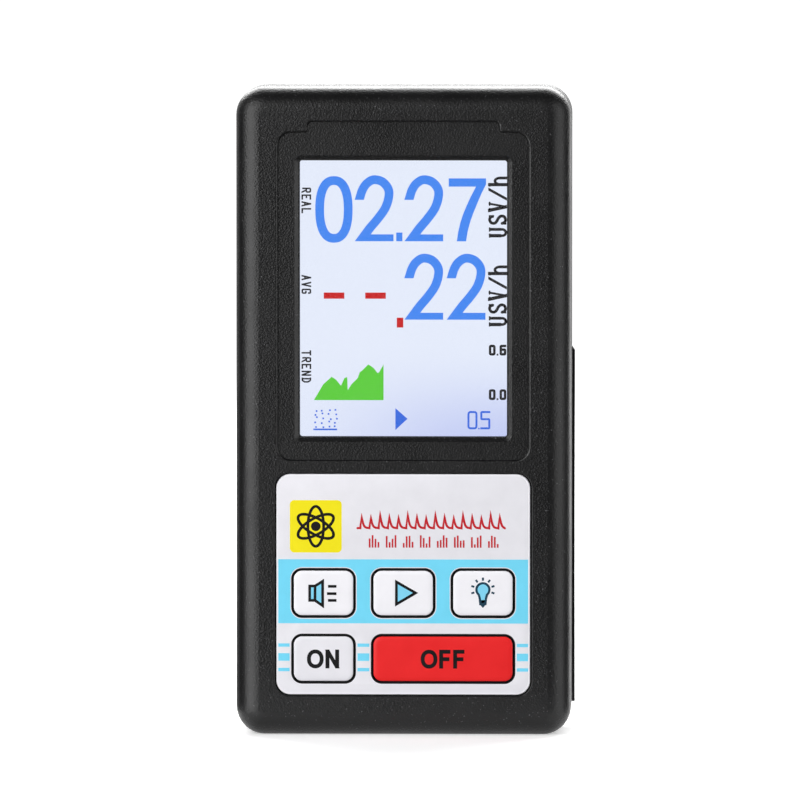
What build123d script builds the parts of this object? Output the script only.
from build123d import *
import math
import os

# Pocket radiation counter: a two-part moulded case with a display behind a window, five keys in a
# printed plate, and a counter tube and three cells behind the circuit board.
# It stands on its lower end, with +Z up and its front face towards -Y. The origin is the middle
# of its base. Depths are measured back from the front face, and heights up from the base.

# Case
case_width = 59.4
case_height = 115.0
case_depth = 25.0
corner_radius = 5.0
front_edge_radius = 4.1
back_edge_radius = 3.0
wall = 2.0
parting_depth = 13.5            # front face to the joint between the two shells
parting_groove = 0.2            # small chamfer on both shells at the joint
lip_height = 1.2
lip_clearance = 0.1

# Display recess, window and the module behind it
screen_width = 36.72
screen_height = 48.96
screen_corner = 0.45
recess_depth = 0.5
recess_side_border = 3.84       # lit area out to the recess's sides
recess_foot_border = 4.1        # lit area down to its lower edge
recess_head_border = 4.93       # lit area up to its shoulders
recess_corner = 2.4
recess_top_margin = 8.07         # top end of the case down to the recess's shoulders
recess_tab_inset = 5.2          # recess's side in to the raised tab
recess_tab_rise = 1.88           # how far the raised tab stands over the shoulders
recess_tab_corner = 0.9
recess_jog_radius = 0.5         # inner corner where the tab meets a shoulder
recess_rim_radius = 0.4        # rounding of the recess's upper edge
bevel_width = 0.9
bevel_depth = 0.45              # of the sloping part
bevel_wall = 0.55               # straight part between the slope and the window
bevel_step = 0.25               # flat ledge inside the slope
window_thickness = 1.0
window_lip = 1.6                # how far the window reaches past the lit area
window_clearance = 0.1
gasket_thickness = 0.5
gasket_border = 0.4             # lit area to the gasket's inner edge
gasket_width = 2.2
tray_side_border = 3.0          # backlight tray past the lit area
tray_top_border = 2.4
tray_foot_border = 8.9
tray_thickness = 2.6
lcd_inset = 1.2                 # tray's edge to the glass
lcd_thickness = 1.3
lcd_clearance = 0.1
tray_fence_wall = 1.0
tray_fence_depth = 3.0
tray_clearance = 0.2

# Printed plate and keys
plate_height = 39.15
plate_corner = 2.5
plate_thickness = 0.6
plate_sunk = 0.3                # plate's face behind the case's face
plate_foot = 7.27               # base up to the plate's lower edge
plate_gap = 0.3                 # all round, in its pocket
pocket_rim_radius = 0.15
key_width = 11.2                # each key's opening in the plate
key_height = 8.6
key_side_margin = 2.77          # plate's side to the outer keys
key_foot_margin = 2.06           # plate's lower edge to the lower row
key_column_gap = 2.93
key_row_gap = 3.08
key_corner = 1.8
key_gap = 0.35                  # dark line round each cap
key_flange = 0.6                # how far the flange reaches past the opening
key_flange_thickness = 0.8
key_face_depth = 0.05
key_edge_radius = 0.3
key_boss_diameter = 4.0
key_travel = 0.3
play = 0.05                     # flange to the wall behind which it rests

# Switches on the board
switch_side = 6.2
switch_body_height = 3.1
plunger_diameter = 3.5
plunger_proud = 1.0
plunger_seated = 0.8
plunger_clearance = 0.08
switch_leg_width = 0.9
switch_leg_reach = 1.1
switch_leg_thickness = 0.25

# Circuit board
board_depth = 7.4               # front face of the case to the board's front
board_thickness = 1.6
board_edge_gap = 0.5
board_corner = 2.0
board_post_diameter = 4.5
board_post_inset = 5.2          # case's side to the post's middle
board_post_low = 36.0
board_post_high_margin = 18.0   # top end down to the upper posts
board_screw_diameter = 2.0
board_screw_length = 5.0
screw_clearance = 0.08

# Screws that hold the shells together
case_screw_diameter = 2.2
case_screw_head = 4.0
case_screw_head_height = 1.6
case_screw_seat = 17.0
case_screw_length = 9.5
case_post_diameter = 5.0
case_socket_diameter = 6.4
case_post_inset = 5.3
case_post_low = 6.5
case_post_high_margin = 6.5
head_clearance = 0.2
driver_slot_width = 0.6
driver_slot_depth = 0.7

# Cells and their bay
cell_diameter = 10.5
cell_length = 44.5
cell_nub_diameter = 3.8
cell_nub_height = 0.9
cell_count = 3
cell_gap = 0.3
cell_edge_radius = 0.5
bay_wall = 1.2
bay_side_gap = 2.4              # case's inner wall to the bay
bay_foot = 10.6
spring_space = 4.7
contact_thickness = 0.4
contact_side_gap = 0.4
spring_wire = 0.5
spring_turns = 4
spring_wide = 3.2
spring_narrow = 2.0
spring_end_gap = 0.15

# Battery door, which hooks under the lower rim and tilts out
door_foot = 4.5
door_top = 68.2
door_thickness = 1.8
door_proud = 0.5                # how far its flanks stand out of the case's sides
door_flank_thickness = 1.2
door_flank_reach = 5.5          # back of the case to the flanks' front edge
door_seat_wall = 1.7
door_clearance = 0.1
door_end_gap = 0.3
door_cell_gap = 0.4
door_end_slope = 0.7            # length of the slope at the flanks' upper end
hook_width = 8.0
hook_spacing = 28.0
hook_drop = 1.4
hook_thickness = 1.1
hook_rise = 1.6
hook_clearance = 0.4
tongue_width = 9.0
tongue_height = 1.4
tongue_thickness = 1.0
scoop_radius = 7.0
scoop_depth = 1.1
door_grip_count = 4
door_grip_pitch = 2.2
door_grip_width = 14.0
door_grip_height = 0.9
door_grip_depth = 0.35

# Counter tube and its clips
tube_diameter = 10.0
tube_length = 78.0
tube_end_radius = 3.2
tube_side_gap = 3.1             # case's inner wall to the tube
tube_board_gap = 1.5
tube_foot = 18.0
tube_cap_diameter = 5.0
tube_cap_length = 5.0
tube_lead_diameter = 1.0
tube_lead_length = 2.0
clip_length = 6.0
clip_thickness = 0.5
clip_clearance = 0.05
clip_inset = 9.0                # tube's end to the clip's middle
clip_opening = 84.0             # degrees
clip_foot_width = 7.0

# Vents and sound holes in the back
vent_count = 6
vent_pitch = 4.6
vent_length = 11.0
vent_width = 1.8
vent_top_margin = 15.0
sound_hole_diameter = 1.4
sound_ring_radius = 3.0
sound_hole_count = 6

# Parts on the back of the board: places are X and height
sounder_diameter = 12.0
sounder_height = 6.5
sounder_port = 2.0
sounder_x = -4.0
sounder_below_top = 22.0
coil_x = -18.0
coil_below_top = 36.0
coil_diameter = 9.0
coil_height = 8.0
coil_flange = 1.2
coil_core_diameter = 4.5
reservoir_x = -17.0
reservoir_below_top = 22.0
reservoir_diameter = 6.3
reservoir_height = 7.5
film_x = 4.0
film_below_top = 39.0
film_size = (7.2, 5.0, 3.2)     # width, depth, height
film_pitch = 5.0
controller_x = -8.0
controller_height = 40.0
controller_side = 10.0
controller_thickness = 1.1
controller_legs = 8
controller_leg_pitch = 1.0
crystal_x = -6.0
crystal_below_top = 37.0
crystal_size = (4.7, 3.5, 11.0)
connector_size = (18.0, 1.2, 4.0)
connector_below_tray = 8.0
flex_width = 16.0
flex_thickness = 0.15
flex_bend = 0.8

# Worked out from the sizes above
inner_half_width = case_width / 2 - wall
middle_height = case_height / 2
recess_shoulder = case_height - recess_top_margin
screen_foot = recess_shoulder - recess_head_border - screen_height
recess_foot = screen_foot - recess_foot_border
recess_width = screen_width + 2 * recess_side_border
recess_height = recess_shoulder - recess_foot
recess_tab_width = recess_width - 2 * recess_tab_inset
screen_middle = screen_foot + screen_height / 2
window_depth = recess_depth + bevel_depth + bevel_wall
gasket_depth = window_depth + window_thickness
tray_depth = gasket_depth + gasket_thickness
tray_width = screen_width + 2 * tray_side_border
tray_height = screen_height + tray_top_border + tray_foot_border
tray_foot = screen_foot - tray_foot_border
tray_middle = tray_foot + tray_height / 2
tray_back = tray_depth + tray_thickness
plate_middle = plate_foot + plate_height / 2
pocket_depth = plate_sunk + plate_thickness
key_pitch = key_width + key_column_gap
plate_width = 3 * key_width + 2 * key_column_gap + 2 * key_side_margin
lower_row = plate_foot + key_foot_margin + key_height / 2
upper_row = lower_row + key_height + key_row_gap
flange_depth = wall + play
boss_depth = flange_depth + key_flange_thickness
switch_depth = board_depth - switch_body_height
plunger_depth = switch_depth - plunger_proud
board_back = board_depth + board_thickness
door_inner = case_depth - door_thickness
door_seat = door_inner - door_clearance
seat_front = door_seat - door_seat_wall
cell_depth = door_inner - door_cell_gap - cell_diameter / 2
bay_front = cell_depth - cell_diameter / 2 - cell_gap
bay_width = cell_count * cell_diameter + (cell_count + 1) * cell_gap
bay_left = -inner_half_width + bay_side_gap + bay_wall
bay_middle = bay_left + bay_width / 2
bay_height = cell_length + spring_space + 2 * contact_thickness
bay_top = bay_foot + bay_height
tube_x = inner_half_width - tube_side_gap - tube_diameter / 2
tube_depth = board_back + tube_board_gap + tube_diameter / 2
case_posts = [
    (side * (case_width / 2 - case_post_inset), height)
    for side in (-1, 1)
    for height in (case_post_low, case_height - case_post_high_margin)
]
board_posts = [
    (side * (case_width / 2 - board_post_inset), height)
    for side in (-1, 1)
    for height in (board_post_low, case_height - board_post_high_margin)
]
cell_places = [
    bay_left + cell_gap + cell_diameter / 2 + i * (cell_diameter + cell_gap)
    for i in range(cell_count)
]
# name, middle's X, middle's height, opening's width
keys = [
    ("sound_key", -key_pitch, upper_row, key_width),
    ("start_key", 0.0, upper_row, key_width),
    ("light_key", key_pitch, upper_row, key_width),
    ("on_key", -key_pitch, lower_row, key_width),
    ("off_key", key_pitch / 2, lower_row, key_pitch + key_width),
]


def behind(depth):
    # the plane this far behind the front face, with X across and height up
    return Plane.XZ.offset(case_depth / 2 - depth)


def back_of(depth):
    # depth behind the front face, as a Y coordinate
    return depth - case_depth / 2


def save(piece, name):
    piece.part.label = name
    export_step(piece.part, f"parts/{name}.step")


os.makedirs("parts", exist_ok=True)


# Front shell: a shallow tray with the display recess, the plate's pocket and the posts
with BuildPart() as front_shell:
    with BuildSketch(behind(0)):
        with Locations((0, middle_height)):
            RectangleRounded(case_width, case_height, corner_radius)
    extrude(amount=-parting_depth)
    fillet(front_shell.faces().sort_by(Axis.Y)[0].edges(), front_edge_radius)
    chamfer(front_shell.faces().sort_by(Axis.Y)[-1].edges(), parting_groove)
    offset(amount=-wall, openings=front_shell.faces().sort_by(Axis.Y)[-1])
    # lip that enters the rear shell
    with BuildSketch(behind(parting_depth - wall)):
        with Locations((0, middle_height)):
            RectangleRounded(
                case_width - wall - 2 * lip_clearance,
                case_height - wall - 2 * lip_clearance,
                corner_radius - wall / 2 - lip_clearance,
            )
            RectangleRounded(
                case_width - 2 * wall,
                case_height - 2 * wall,
                corner_radius - wall,
                mode=Mode.SUBTRACT,
            )
    extrude(amount=-wall - lip_height)
    # posts for the case screws and for the board
    with BuildSketch(behind(wall / 2)):
        with Locations(*case_posts):
            Circle(case_post_diameter / 2)
    extrude(amount=-parting_depth + wall / 2)
    with BuildSketch(behind(wall / 2)):
        with Locations(*board_posts):
            Circle(board_post_diameter / 2)
    extrude(amount=-board_depth + wall / 2)
    # fence round the display module
    with BuildSketch(behind(wall / 2)):
        with Locations((0, tray_middle)):
            Rectangle(
                tray_width + 2 * tray_clearance + 2 * tray_fence_wall,
                tray_height + 2 * tray_clearance + 2 * tray_fence_wall,
            )
    extrude(amount=-tray_fence_depth - wall / 2)
    with BuildSketch(behind(wall)):
        with Locations((0, tray_middle)):
            Rectangle(tray_width + 2 * tray_clearance, tray_height + 2 * tray_clearance)
        # gap in its lower side for the ribbon
        with Locations((0, tray_foot)):
            Rectangle(
                flex_width + 4 * tray_clearance,
                2 * (tray_clearance + tray_fence_wall),
                align=(Align.CENTER, Align.CENTER),
            )
    extrude(amount=-tray_fence_depth, mode=Mode.SUBTRACT)
    # display recess with its raised tab
    with BuildSketch(behind(0)) as recess:
        with Locations((0, recess_foot + recess_height / 2)):
            RectangleRounded(recess_width, recess_height, recess_corner)
        with Locations((0, recess_shoulder + recess_tab_rise / 2 - recess_corner / 2)):
            RectangleRounded(recess_tab_width, recess_tab_rise + recess_corner, recess_tab_corner)
        jogs = recess.vertices().filter_by(
            lambda corner: abs(corner.Y - recess_shoulder) < recess_tab_rise / 8
            and abs(abs(corner.X) - recess_tab_width / 2) < recess_tab_rise / 8
        )
        fillet(jogs, recess_jog_radius)
    extrude(amount=-recess_depth, mode=Mode.SUBTRACT)
    front_face = front_shell.faces().filter_by(Axis.Y).sort_by(Axis.Y)[0]
    fillet(front_face.inner_wires()[0].edges(), recess_rim_radius)
    # bevelled opening over the lit area, then the window's seat behind it
    with BuildSketch(behind(recess_depth)):
        with Locations((0, screen_middle)):
            RectangleRounded(
                screen_width + 2 * bevel_width,
                screen_height + 2 * bevel_width,
                screen_corner + bevel_width,
            )
    with BuildSketch(behind(recess_depth + bevel_depth)):
        with Locations((0, screen_middle)):
            RectangleRounded(
                screen_width + 2 * bevel_step,
                screen_height + 2 * bevel_step,
                screen_corner + bevel_step,
            )
    loft(ruled=True, mode=Mode.SUBTRACT)
    with BuildSketch(behind(recess_depth)):
        with Locations((0, screen_middle)):
            RectangleRounded(screen_width, screen_height, screen_corner)
    extrude(amount=-bevel_depth - bevel_wall, mode=Mode.SUBTRACT)
    with BuildSketch(behind(window_depth)):
        with Locations((0, screen_middle)):
            Rectangle(
                screen_width + 2 * window_lip + 2 * window_clearance,
                screen_height + 2 * window_lip + 2 * window_clearance,
            )
    extrude(amount=-wall, mode=Mode.SUBTRACT)
    # plate's pocket and the key openings
    with BuildSketch(behind(0)):
        with Locations((0, plate_middle)):
            RectangleRounded(
                plate_width + 2 * plate_gap,
                plate_height + 2 * plate_gap,
                plate_corner + plate_gap,
            )
    extrude(amount=-pocket_depth, mode=Mode.SUBTRACT)
    front_face = front_shell.faces().filter_by(Axis.Y).sort_by(Axis.Y)[0]
    fillet(front_face.inner_wires().sort_by(Axis.Z)[0].edges(), pocket_rim_radius)
    with BuildSketch(behind(0)):
        for name, x, height, width in keys:
            with Locations((x, height)):
                RectangleRounded(width, key_height, key_corner)
    extrude(amount=-wall, mode=Mode.SUBTRACT)
    # pilot holes
    with BuildSketch(behind(case_screw_seat - case_screw_length - 1)):
        with Locations(*case_posts):
            Circle(case_screw_diameter / 2 + screw_clearance)
    extrude(amount=-case_screw_length, mode=Mode.SUBTRACT)
    with BuildSketch(behind(board_back - board_screw_length - screw_clearance)):
        with Locations(*board_posts):
            Circle(board_screw_diameter / 2 + screw_clearance)
    extrude(amount=-board_screw_length, mode=Mode.SUBTRACT)
save(front_shell, "front_shell")


# Rear shell: back tray with the bay for the cells and the seat for the door
with BuildPart() as rear_shell:
    with BuildSketch(behind(parting_depth)):
        with Locations((0, middle_height)):
            RectangleRounded(case_width, case_height, corner_radius)
    extrude(amount=parting_depth - case_depth)
    fillet(rear_shell.faces().sort_by(Axis.Y)[-1].edges(), back_edge_radius)
    chamfer(rear_shell.faces().sort_by(Axis.Y)[0].edges(), parting_groove)
    offset(amount=-wall, openings=rear_shell.faces().sort_by(Axis.Y)[0])
    # rebate for the front shell's lip
    with BuildSketch(behind(parting_depth)):
        with Locations((0, middle_height)):
            RectangleRounded(case_width - wall, case_height - wall, corner_radius - wall / 2)
    extrude(amount=-lip_height - lip_clearance, mode=Mode.SUBTRACT)
    # opening for the door, through the back wall and round both sides
    with BuildSketch(behind(door_seat)):
        with Locations((0, door_foot)):
            Rectangle(
                case_width + 2 * door_proud + 2,
                door_top + door_end_gap - door_foot,
                align=(Align.CENTER, Align.MIN),
            )
    extrude(amount=-door_thickness - 1, mode=Mode.SUBTRACT)
    with BuildSketch(behind(case_depth - door_flank_reach - door_clearance)):
        for side in (-1, 1):
            with Locations((side * (case_width / 2 + door_proud), door_foot)):
                Rectangle(
                    2 * (door_flank_thickness + door_clearance),
                    door_top + door_end_gap - door_foot,
                    align=(Align.CENTER, Align.MIN),
                )
    extrude(amount=-door_flank_reach - 1, mode=Mode.SUBTRACT)
    # wall that the door lies on
    with BuildSketch(behind(seat_front)):
        with Locations((0, wall / 2)):
            Rectangle(
                2 * inner_half_width + wall / 2,
                door_top + door_end_gap + wall / 2,
                align=(Align.CENTER, Align.MIN),
            )
    extrude(amount=-door_seat_wall)
    # tub for the cells
    with BuildSketch(behind(bay_front - bay_wall)):
        with Locations((bay_middle, bay_foot - bay_wall)):
            Rectangle(
                bay_width + 2 * bay_wall,
                bay_height + 2 * bay_wall,
                align=(Align.CENTER, Align.MIN),
            )
    extrude(amount=bay_front - bay_wall - door_seat)
    # sockets round the case screws
    with BuildSketch(behind(parting_depth)):
        with Locations(*case_posts):
            Circle(case_socket_diameter / 2)
    extrude(amount=parting_depth - seat_front)
    with BuildSketch(behind(parting_depth)):
        with Locations(*[place for place in case_posts if place[1] > middle_height]):
            Circle(case_socket_diameter / 2)
    extrude(amount=parting_depth - case_depth + wall / 2)
    # hollow of the tub
    with BuildSketch(behind(bay_front)):
        with Locations((bay_middle, bay_foot)):
            Rectangle(bay_width, bay_height, align=(Align.CENTER, Align.MIN))
    extrude(amount=bay_front - case_depth, mode=Mode.SUBTRACT)
    # slots for the door's hooks
    with BuildSketch(behind(seat_front - hook_clearance)):
        for side in (-1, 1):
            with Locations((side * hook_spacing / 2, wall)):
                Rectangle(
                    hook_width + 2 * hook_clearance,
                    bay_foot - bay_wall - wall - hook_clearance,
                    align=(Align.CENTER, Align.MIN),
                )
    extrude(amount=seat_front - hook_clearance - door_seat, mode=Mode.SUBTRACT)
    # screw holes, with the heads let in from the back
    with BuildSketch(behind(parting_depth - 1)):
        with Locations(*case_posts):
            Circle(case_screw_diameter / 2 + screw_clearance)
    extrude(amount=-case_depth, mode=Mode.SUBTRACT)
    with BuildSketch(behind(case_screw_seat)):
        with Locations(*case_posts):
            Circle(case_screw_head / 2 + head_clearance)
    extrude(amount=-case_depth, mode=Mode.SUBTRACT)
    # vents over the tube, holes over the sounder, and a thumb scoop at the door's upper edge
    with BuildSketch(behind(seat_front)):
        for i in range(vent_count):
            with Locations((tube_x, case_height - vent_top_margin - i * vent_pitch)):
                SlotOverall(vent_length, vent_width)
        with Locations((sounder_x, case_height - sounder_below_top)):
            Circle(sound_hole_diameter / 2)
            with PolarLocations(sound_ring_radius, sound_hole_count):
                Circle(sound_hole_diameter / 2)
    extrude(amount=-case_depth, mode=Mode.SUBTRACT)
    with BuildSketch(behind(case_depth - scoop_depth)):
        with Locations((0, door_top + door_end_gap)):
            Circle(scoop_radius)
    extrude(amount=-scoop_depth, mode=Mode.SUBTRACT)
save(rear_shell, "rear_shell")


# Battery door: panel, two flanks, hooks at its foot and a tongue at its top
with BuildPart() as battery_door:
    with BuildSketch(behind(case_depth - door_flank_reach)):
        with Locations((0, door_foot + door_end_gap / 2)):
            Rectangle(
                case_width + 2 * door_proud,
                door_top - door_foot - door_end_gap / 2,
                align=(Align.CENTER, Align.MIN),
            )
    extrude(amount=-door_flank_reach)
    back_sides = battery_door.faces().sort_by(Axis.Y)[-1].edges().filter_by(Axis.Z)
    fillet(back_sides, back_edge_radius)
    with BuildSketch(behind(case_depth - door_flank_reach)):
        with Locations((0, door_foot)):
            Rectangle(
                case_width + 2 * door_proud - 2 * door_flank_thickness,
                door_top,
                align=(Align.CENTER, Align.MIN),
            )
    extrude(amount=door_thickness - door_flank_reach, mode=Mode.SUBTRACT)
    # slope at the flanks' upper end
    with BuildSketch(behind(case_depth - door_flank_reach)):
        for side in (-1, 1):
            with BuildLine():
                outer = side * (case_width / 2 + door_proud)
                Polyline(
                    (outer, door_top - door_end_slope),
                    (outer - side * door_proud, door_top),
                    (outer, door_top),
                    close=True,
                )
            make_face()
    extrude(amount=-door_flank_reach, mode=Mode.SUBTRACT)
    # hooks that reach down behind the rim
    with BuildSketch(Plane.YZ.offset(-hook_width / 2)):
        with BuildLine():
            hook_back = back_of(door_seat - door_clearance)
            hook_top = door_foot + door_end_gap / 2 + hook_rise
            Polyline(
                (back_of(door_inner), hook_top),
                (hook_back - hook_thickness, hook_top),
                (hook_back - hook_thickness, door_foot - hook_drop),
                (hook_back, door_foot - hook_drop),
                (hook_back, door_foot + door_end_gap / 2),
                (back_of(door_inner), door_foot + door_end_gap / 2),
                close=True,
            )
        make_face()
    hook = extrude(amount=hook_width, mode=Mode.PRIVATE)
    for side in (-1, 1):
        add(Pos(side * hook_spacing / 2, 0, 0) * hook)
    # tongue in the thumb scoop
    with BuildSketch(behind(case_depth - scoop_depth + door_clearance)):
        with Locations((0, door_top - tongue_height)):
            Rectangle(tongue_width, 2 * tongue_height, align=(Align.CENTER, Align.MIN))
    extrude(amount=door_clearance - tongue_thickness)
    # finger ridges
    with BuildSketch(behind(case_depth - door_grip_depth)):
        for i in range(door_grip_count):
            with Locations((0, door_top - scoop_radius - i * door_grip_pitch)):
                SlotOverall(door_grip_width, door_grip_height)
    extrude(amount=-door_grip_depth, mode=Mode.SUBTRACT)
save(battery_door, "battery_door")


# Display: window, gasket, backlight tray, glass, foam pad and ribbon
with BuildPart() as display_window:
    with BuildSketch(behind(window_depth)):
        with Locations((0, screen_middle)):
            Rectangle(screen_width + 2 * window_lip, screen_height + 2 * window_lip)
    extrude(amount=-window_thickness)
save(display_window, "display_window")

with BuildPart() as display_gasket:
    with BuildSketch(behind(gasket_depth)):
        with Locations((0, screen_middle)):
            Rectangle(
                screen_width + 2 * gasket_border + 2 * gasket_width,
                screen_height + 2 * gasket_border + 2 * gasket_width,
            )
            Rectangle(
                screen_width + 2 * gasket_border,
                screen_height + 2 * gasket_border,
                mode=Mode.SUBTRACT,
            )
    extrude(amount=-gasket_thickness)
save(display_gasket, "display_gasket")

with BuildPart() as backlight_tray:
    with BuildSketch(behind(tray_depth)):
        with Locations((0, tray_middle)):
            Rectangle(tray_width, tray_height)
    extrude(amount=-tray_thickness)
    with BuildSketch(behind(tray_depth)):
        with Locations((0, tray_middle)):
            Rectangle(tray_width - 2 * lcd_inset, tray_height - 2 * lcd_inset)
    extrude(amount=-lcd_thickness, mode=Mode.SUBTRACT)
save(backlight_tray, "backlight_tray")

with BuildPart() as lcd_glass:
    with BuildSketch(behind(tray_depth)):
        with Locations((0, tray_middle)):
            Rectangle(
                tray_width - 2 * lcd_inset - 2 * lcd_clearance,
                tray_height - 2 * lcd_inset - 2 * lcd_clearance,
            )
    extrude(amount=-lcd_thickness)
save(lcd_glass, "lcd_glass")

with BuildPart() as lcd_pad:
    with BuildSketch(behind(tray_back)):
        with Locations((0, screen_middle)):
            Rectangle(screen_width - 2 * tray_side_border, screen_height - 2 * tray_side_border)
    extrude(amount=tray_back - board_depth)
save(lcd_pad, "lcd_pad")

connector_width, connector_depth, connector_height = connector_size
connector_middle = tray_foot - connector_below_tray
with BuildPart() as flex_connector:
    with BuildSketch(behind(board_depth - connector_depth)):
        with Locations((0, connector_middle)):
            Rectangle(connector_width, connector_height)
    extrude(amount=-connector_depth)
    chamfer(flex_connector.faces().sort_by(Axis.Y)[0].edges().filter_by(Axis.X), connector_depth / 3)
save(flex_connector, "flex_connector")

with BuildPart() as lcd_flex:
    with BuildSketch(Plane.YZ.offset(-flex_width / 2)):
        with BuildLine():
            exit_y = back_of(tray_depth + tray_thickness / 2)
            entry_y = back_of(board_depth - connector_depth / 2)
            socket_top = connector_middle + connector_height / 2
            FilletPolyline(
                (exit_y, tray_foot),
                (exit_y, tray_foot - flex_bend * 2),
                (entry_y, socket_top + flex_bend * 2),
                (entry_y, socket_top),
                radius=flex_bend,
            )
        trace(line_width=flex_thickness)
    extrude(amount=flex_width)
save(lcd_flex, "lcd_flex")


# Printed plate
with BuildPart() as key_plate:
    with BuildSketch(behind(plate_sunk)):
        with Locations((0, plate_middle)):
            RectangleRounded(plate_width, plate_height, plate_corner)
        for name, x, height, width in keys:
            with Locations((x, height)):
                RectangleRounded(width, key_height, key_corner, mode=Mode.SUBTRACT)
    extrude(amount=-plate_thickness)
save(key_plate, "key_plate")


# Keys, and the plunger and switch behind each
for name, x, height, width in keys:
    with BuildPart() as key:
        with BuildSketch(behind(key_face_depth)):
            with Locations((x, height)):
                RectangleRounded(width - 2 * key_gap, key_height - 2 * key_gap, key_corner - key_gap)
        extrude(amount=key_face_depth - flange_depth)
        fillet(key.faces().sort_by(Axis.Y)[0].edges(), key_edge_radius)
        with BuildSketch(behind(flange_depth)):
            with Locations((x, height)):
                RectangleRounded(width + 2 * key_flange, key_height + 2 * key_flange, key_corner)
        extrude(amount=-key_flange_thickness)
        with BuildSketch(behind(boss_depth)):
            with Locations((x, height)):
                Circle(key_boss_diameter / 2)
        extrude(amount=boss_depth - plunger_depth)
    save(key, name)

    with BuildPart() as plunger:
        with BuildSketch(behind(plunger_depth)):
            with Locations((x, height)):
                Circle(plunger_diameter / 2)
        extrude(amount=-plunger_proud - plunger_seated)
        chamfer(plunger.faces().sort_by(Axis.Y)[0].edges(), plunger_seated / 4)
    save(plunger, name.replace("_key", "_plunger"))

    with BuildPart() as switch:
        with BuildSketch(behind(switch_depth)):
            with Locations((x, height)):
                RectangleRounded(switch_side, switch_side, switch_leg_thickness)
                Circle(plunger_diameter / 2 + plunger_clearance, mode=Mode.SUBTRACT)
        extrude(amount=-plunger_seated - 2 * key_travel)
        with BuildSketch(behind(switch_depth + plunger_seated + 2 * key_travel)):
            with Locations((x, height)):
                RectangleRounded(switch_side, switch_side, switch_leg_thickness)
        extrude(amount=switch_depth + plunger_seated + 2 * key_travel - board_depth)
        with BuildSketch(behind(board_depth - switch_leg_thickness)):
            with Locations((x, height)):
                with GridLocations(0, switch_side - 2 * switch_leg_width, 1, 2):
                    Rectangle(switch_side + 2 * switch_leg_reach, switch_leg_width)
        extrude(amount=-switch_leg_thickness)
    save(switch, name.replace("_key", "_switch"))


# Circuit board, its screws and what it carries
with BuildPart() as main_board:
    with BuildSketch(behind(board_depth)):
        with Locations((0, middle_height)):
            RectangleRounded(
                2 * inner_half_width - 2 * board_edge_gap,
                case_height - 2 * wall - 2 * board_edge_gap,
                board_corner,
            )
        with Locations(*case_posts):
            Circle(case_post_diameter / 2 + board_edge_gap, mode=Mode.SUBTRACT)
        with Locations(*board_posts):
            Circle(board_screw_diameter / 2 + screw_clearance, mode=Mode.SUBTRACT)
    extrude(amount=-board_thickness)
    # what is left outside the notches round the corner posts comes away
    main_solid = main_board.solids().sort_by(SortBy.VOLUME)[-1]
with BuildPart() as board:
    add(main_solid)
save(board, "main_board")


def screws(places, seat_depth, length, diameter, head_diameter, head_height):
    # pan-headed screws driven from the back, each with a cross slot
    with BuildPart() as group:
        with BuildSketch(behind(seat_depth - length)):
            with Locations(*places):
                Circle(diameter / 2)
        extrude(amount=-length)
        with BuildSketch(behind(seat_depth)):
            with Locations(*places):
                Circle(head_diameter / 2)
        extrude(amount=-head_height)
        heads = group.faces().group_by(Axis.Y)[-1]
        fillet(heads.edges(), head_height / 4)
        with BuildSketch(behind(seat_depth + head_height - driver_slot_depth)):
            with Locations(*places):
                Rectangle(head_diameter * 0.7, driver_slot_width)
                Rectangle(driver_slot_width, head_diameter * 0.7)
        extrude(amount=-driver_slot_depth, mode=Mode.SUBTRACT)
    return group


case_screws = screws(
    case_posts,
    case_screw_seat,
    case_screw_length,
    case_screw_diameter,
    case_screw_head,
    case_screw_head_height,
)
save(case_screws, "case_screws")
board_screws = screws(
    board_posts,
    board_back,
    board_screw_length,
    board_screw_diameter,
    board_screw_diameter * 2,
    board_screw_diameter * 0.6,
)
save(board_screws, "board_screws")

with BuildPart() as controller_chip:
    with BuildSketch(behind(board_back)):
        with Locations((controller_x, controller_height)):
            Rectangle(controller_side, controller_side)
    extrude(amount=-controller_thickness)
    leg_reach = controller_leg_pitch
    leg_width = controller_leg_pitch * 0.4
    with BuildSketch(behind(board_back)):
        with Locations((controller_x, controller_height)):
            with GridLocations(0, controller_leg_pitch, 1, controller_legs):
                Rectangle(controller_side + 2 * leg_reach, leg_width)
            with GridLocations(controller_leg_pitch, 0, controller_legs, 1):
                Rectangle(leg_width, controller_side + 2 * leg_reach)
    extrude(amount=-controller_thickness / 4)
save(controller_chip, "controller_chip")

crystal_width, crystal_depth, crystal_height = crystal_size
with BuildPart() as crystal:
    with BuildSketch(behind(board_back)):
        with Locations((crystal_x, case_height - crystal_below_top)):
            RectangleRounded(crystal_width, crystal_height, crystal_width * 0.45)
    extrude(amount=-crystal_depth)
save(crystal, "crystal")

with BuildPart() as sounder:
    with BuildSketch(behind(board_back)):
        with Locations((sounder_x, case_height - sounder_below_top)):
            Circle(sounder_diameter / 2)
    extrude(amount=-sounder_height)
    fillet(sounder.faces().sort_by(Axis.Y)[-1].edges(), sounder_height / 12)
    with BuildSketch(behind(board_back + sounder_height / 2)):
        with Locations((sounder_x, case_height - sounder_below_top)):
            Circle(sounder_port / 2)
    extrude(amount=-sounder_height, mode=Mode.SUBTRACT)
save(sounder, "sounder")

with BuildPart() as reservoir_capacitor:
    with BuildSketch(behind(board_back)):
        with Locations((reservoir_x, case_height - reservoir_below_top)):
            Circle(reservoir_diameter / 2)
    extrude(amount=-reservoir_height)
    fillet(reservoir_capacitor.faces().sort_by(Axis.Y)[-1].edges(), reservoir_diameter / 12)
save(reservoir_capacitor, "reservoir_capacitor")

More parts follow.
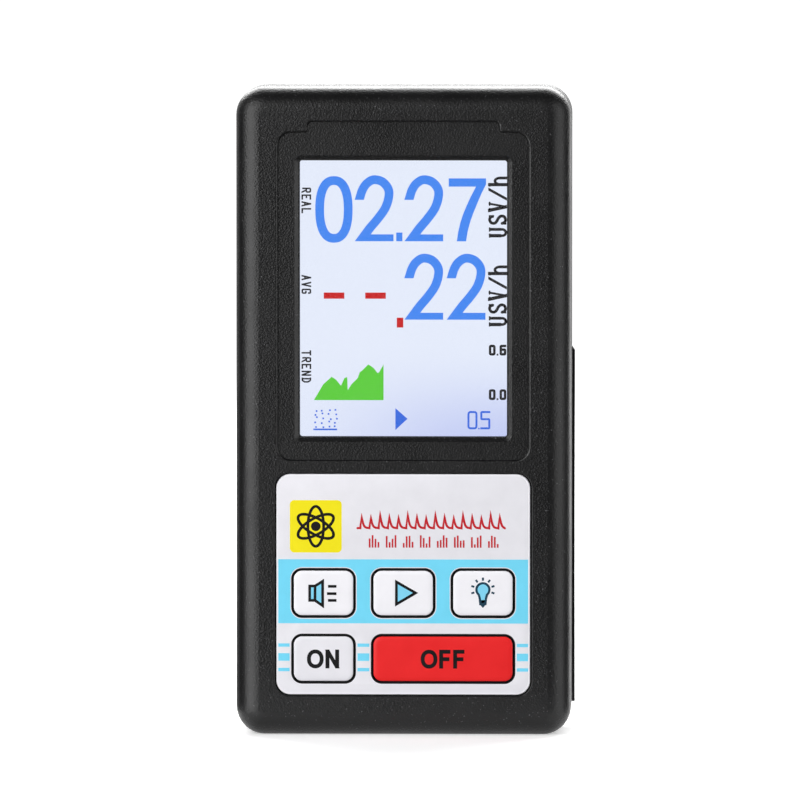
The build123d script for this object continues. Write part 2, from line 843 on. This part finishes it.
film_width, film_depth, film_height = film_size
with BuildPart() as high_voltage_capacitors:
    with BuildSketch(behind(board_back)):
        with Locations((film_x, case_height - film_below_top)):
            with GridLocations(0, film_pitch, 1, 3):
                Rectangle(film_width, film_height)
    extrude(amount=-film_depth)
    fillet(high_voltage_capacitors.edges().filter_by(Axis.Y), film_height / 6)
save(high_voltage_capacitors, "high_voltage_capacitors")

coil_place = (coil_x, case_height - coil_below_top)
with BuildPart() as coil_core:
    with BuildSketch(behind(board_back)):
        with Locations(coil_place):
            Circle(coil_diameter / 2)
    extrude(amount=-coil_flange)
    with BuildSketch(behind(board_back)):
        with Locations(coil_place):
            Circle(coil_core_diameter / 2)
    extrude(amount=-coil_height)
    with BuildSketch(behind(board_back + coil_height - coil_flange)):
        with Locations(coil_place):
            Circle(coil_diameter / 2)
    extrude(amount=-coil_flange)
save(coil_core, "coil_core")

with BuildPart() as coil_winding:
    with BuildSketch(behind(board_back + coil_flange)):
        with Locations(coil_place):
            Circle(coil_diameter / 2 - coil_flange / 2)
            Circle(coil_core_diameter / 2, mode=Mode.SUBTRACT)
    extrude(amount=2 * coil_flange - coil_height)
save(coil_winding, "coil_winding")


# Counter tube, its end caps and the two clips that hold it to the board
tube_place = (tube_x, back_of(tube_depth))
with BuildPart() as tube_body:
    with BuildSketch(Plane.XY.offset(tube_foot)):
        with Locations(tube_place):
            Circle(tube_diameter / 2)
    extrude(amount=tube_length)
    fillet(tube_body.edges().filter_by(GeomType.CIRCLE), tube_end_radius)
save(tube_body, "tube_body")

tube_top = tube_foot + tube_length
with BuildPart() as tube_anode_cap:
    with BuildSketch(Plane.XY.offset(tube_top)):
        with Locations(tube_place):
            Circle(tube_cap_diameter / 2 - tube_end_radius / 4)
    extrude(amount=tube_cap_length)
    with BuildSketch(Plane.XY.offset(tube_top + tube_cap_length)):
        with Locations(tube_place):
            Circle(tube_lead_diameter / 2)
    extrude(amount=tube_lead_length)
save(tube_anode_cap, "tube_anode_cap")

with BuildPart() as tube_cathode_cap:
    with BuildSketch(Plane.XY.offset(tube_foot)):
        with Locations(tube_place):
            Circle(tube_cap_diameter / 2 - tube_end_radius / 4)
    extrude(amount=-tube_cap_length)
save(tube_cathode_cap, "tube_cathode_cap")

clip_inner = tube_diameter / 2 + clip_clearance
clip_outer = clip_inner + clip_thickness
for name, middle in (
    ("tube_clip_lower", tube_foot + clip_inset),
    ("tube_clip_upper", tube_top - clip_inset),
):
    with BuildPart() as clip:
        with BuildSketch(Plane.XY.offset(middle - clip_length / 2)):
            with Locations(tube_place):
                Circle(clip_outer)
            with Locations((tube_x, back_of(board_back))):
                Rectangle(clip_foot_width, clip_thickness, align=(Align.CENTER, Align.MIN))
                Rectangle(
                    clip_thickness * 4,
                    tube_board_gap + tube_diameter / 4,
                    align=(Align.CENTER, Align.MIN),
                )
            with Locations(tube_place):
                Circle(clip_inner, mode=Mode.SUBTRACT)
                with BuildLine():
                    spread = clip_outer * 2 * math.tan(math.radians(clip_opening / 2))
                    Polyline(
                        (0, 0),
                        (spread, clip_outer * 2),
                        (-spread, clip_outer * 2),
                        close=True,
                    )
                make_face(mode=Mode.SUBTRACT)
        extrude(amount=clip_length)
    save(clip, name)


# Cells: the outer two point up, and the one between them points down
cell_y = back_of(cell_depth)
for i, x in enumerate(cell_places):
    points_up = i % 2 == 0
    foot = bay_foot + contact_thickness + (spring_space if points_up else cell_nub_height)
    nub_start = foot + cell_length - cell_nub_height if points_up else foot - cell_nub_height
    with BuildPart() as cell:
        with BuildSketch(Plane.XY.offset(foot)):
            with Locations((x, cell_y)):
                Circle(cell_diameter / 2)
        extrude(amount=cell_length - cell_nub_height)
        fillet(cell.edges().filter_by(GeomType.CIRCLE), cell_edge_radius)
        with BuildSketch(Plane.XY.offset(nub_start)):
            with Locations((x, cell_y)):
                Circle(cell_nub_diameter / 2)
        extrude(amount=cell_nub_height)
    save(cell, f"cell_{i + 1}")

    # cone-shaped contact spring at the cell's flat end
    spring_base = bay_foot + contact_thickness if points_up else bay_top - contact_thickness
    way = 1 if points_up else -1
    spring_height = spring_space - 2 * spring_end_gap - spring_wire
    spring_start = spring_base + way * (spring_end_gap + spring_wire / 2)
    cone = math.degrees(math.atan((spring_wide - spring_narrow) / spring_height))
    with BuildPart() as contact_spring:
        with BuildLine() as coil:
            Helix(
                pitch=spring_height / spring_turns,
                height=spring_height,
                radius=spring_wide,
                center=(x, cell_y, spring_start),
                direction=(0, 0, way),
                cone_angle=-cone,
            )
        with BuildSketch(coil.line ^ 0):
            Circle(spring_wire / 2)
        sweep()
    save(contact_spring, f"contact_spring_{i + 1}")


# Contact plates at both ends of the bay: a link between two cells, and a single plate
plate_side = cell_diameter - 2 * contact_side_gap
link_side = 2 * cell_diameter + cell_gap - 2 * contact_side_gap
for name, foot, link_x, single_x in (
    (
        "lower_contacts",
        bay_foot,
        (cell_places[1] + cell_places[2]) / 2,
        cell_places[0],
    ),
    (
        "upper_contacts",
        bay_top - contact_thickness,
        (cell_places[0] + cell_places[1]) / 2,
        cell_places[2],
    ),
):
    with BuildPart() as contacts:
        with BuildSketch(Plane.XY.offset(foot)):
            with Locations((link_x, cell_y)):
                Rectangle(link_side, plate_side)
            with Locations((single_x, cell_y)):
                Rectangle(plate_side, plate_side)
        extrude(amount=contact_thickness)
        fillet(contacts.edges().filter_by(Axis.Z), 2 * contact_thickness)
    save(contacts, name)
